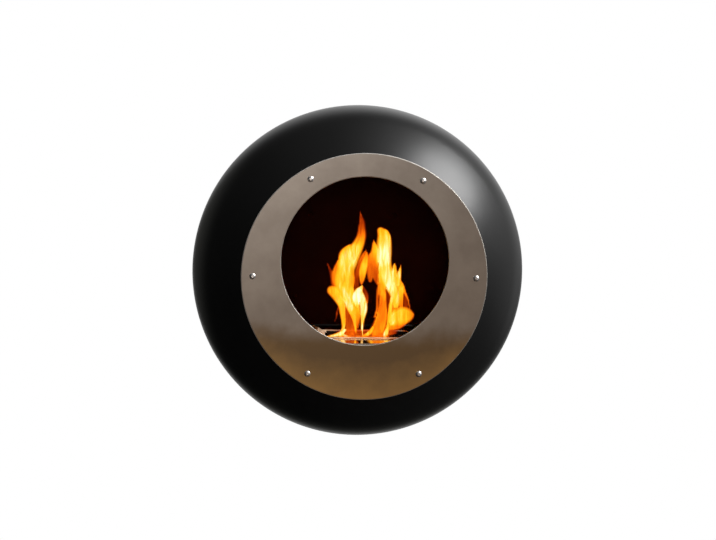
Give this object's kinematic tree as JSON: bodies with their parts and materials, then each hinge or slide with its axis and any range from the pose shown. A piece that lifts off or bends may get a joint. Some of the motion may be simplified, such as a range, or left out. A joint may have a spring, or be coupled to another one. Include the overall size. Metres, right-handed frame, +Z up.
{
  "type": "wall-mounted bioethanol fireplace",
  "caption": "Round bulging black steel bioethanol fireplace for a wall, with a brushed steel ring round an off-centre window, a hearth plate and a lift-out burner with a sliding lid.",
  "frame": {"origin": "on the shell's axis at the wall, which is the centre of the wall bracket's four holes", "axes": "+Z up, +X to the right as seen from the room, the front faces -Y"},
  "size_m": [0.6, 0.283, 0.6],
  "materials": {
    "black_shell": "satin black paint",
    "brushed_bezel": "brushed stainless steel",
    "polished_steel": "polished stainless steel",
    "burner_steel": "plain stainless sheet",
    "zinc_steel": "zinc plated",
    "screw_steel": "stainless, satin",
    "black_plate": "matt heat-resistant black",
    "black_screw": "black oxide",
    "rubber": "matt",
    "ceramic_wool": "matt white fibre"
  },
  "bodies": {
    "wall": {"wall_bracket": "black_plate"},
    "housing": {"front_shell": "black_shell", "rear_shell": "black_shell", "shell_joint_band": "black_plate", "bezel": "brushed_bezel", "bezel_screws": "screw_steel", "bezel_nuts": "zinc_steel", "rear_plate": "black_plate", "rear_plate_rivets": "zinc_steel", "wall_bumpers": "rubber", "heat_shield": "black_plate", "shield_spacers": "zinc_steel", "shield_screws": "black_screw", "shield_nuts": "zinc_steel", "deck": "polished_steel", "deck_brackets": "black_plate", "deck_screws": "screw_steel"},
    "burner": {"burner_top": "polished_steel", "burner_tank": "burner_steel", "ceramic_wool": "ceramic_wool", "burner_mesh": "burner_steel", "lid_rail_front": "burner_steel", "lid_rail_rear": "burner_steel", "lid_stops": "burner_steel", "lift_tabs": "burner_steel"},
    "lid": {"sliding_lid": "polished_steel", "lid_handle": "polished_steel", "lid_handle_rivets": "screw_steel"}
  },
  "joints": [
    {"name": "hang_lift", "type": "slide", "parent": "wall", "child": "housing", "axis": [0, 0, 1], "range_m": [0, 0.02]},
    {"name": "burner_lift", "type": "slide", "parent": "housing", "child": "burner", "axis": [0, 0, 1], "range_m": [0, 0.08]},
    {"name": "lid_slide", "type": "slide", "parent": "burner", "child": "lid", "axis": [1, 0, 0], "range_m": [0, 0.1545]}
  ]
}
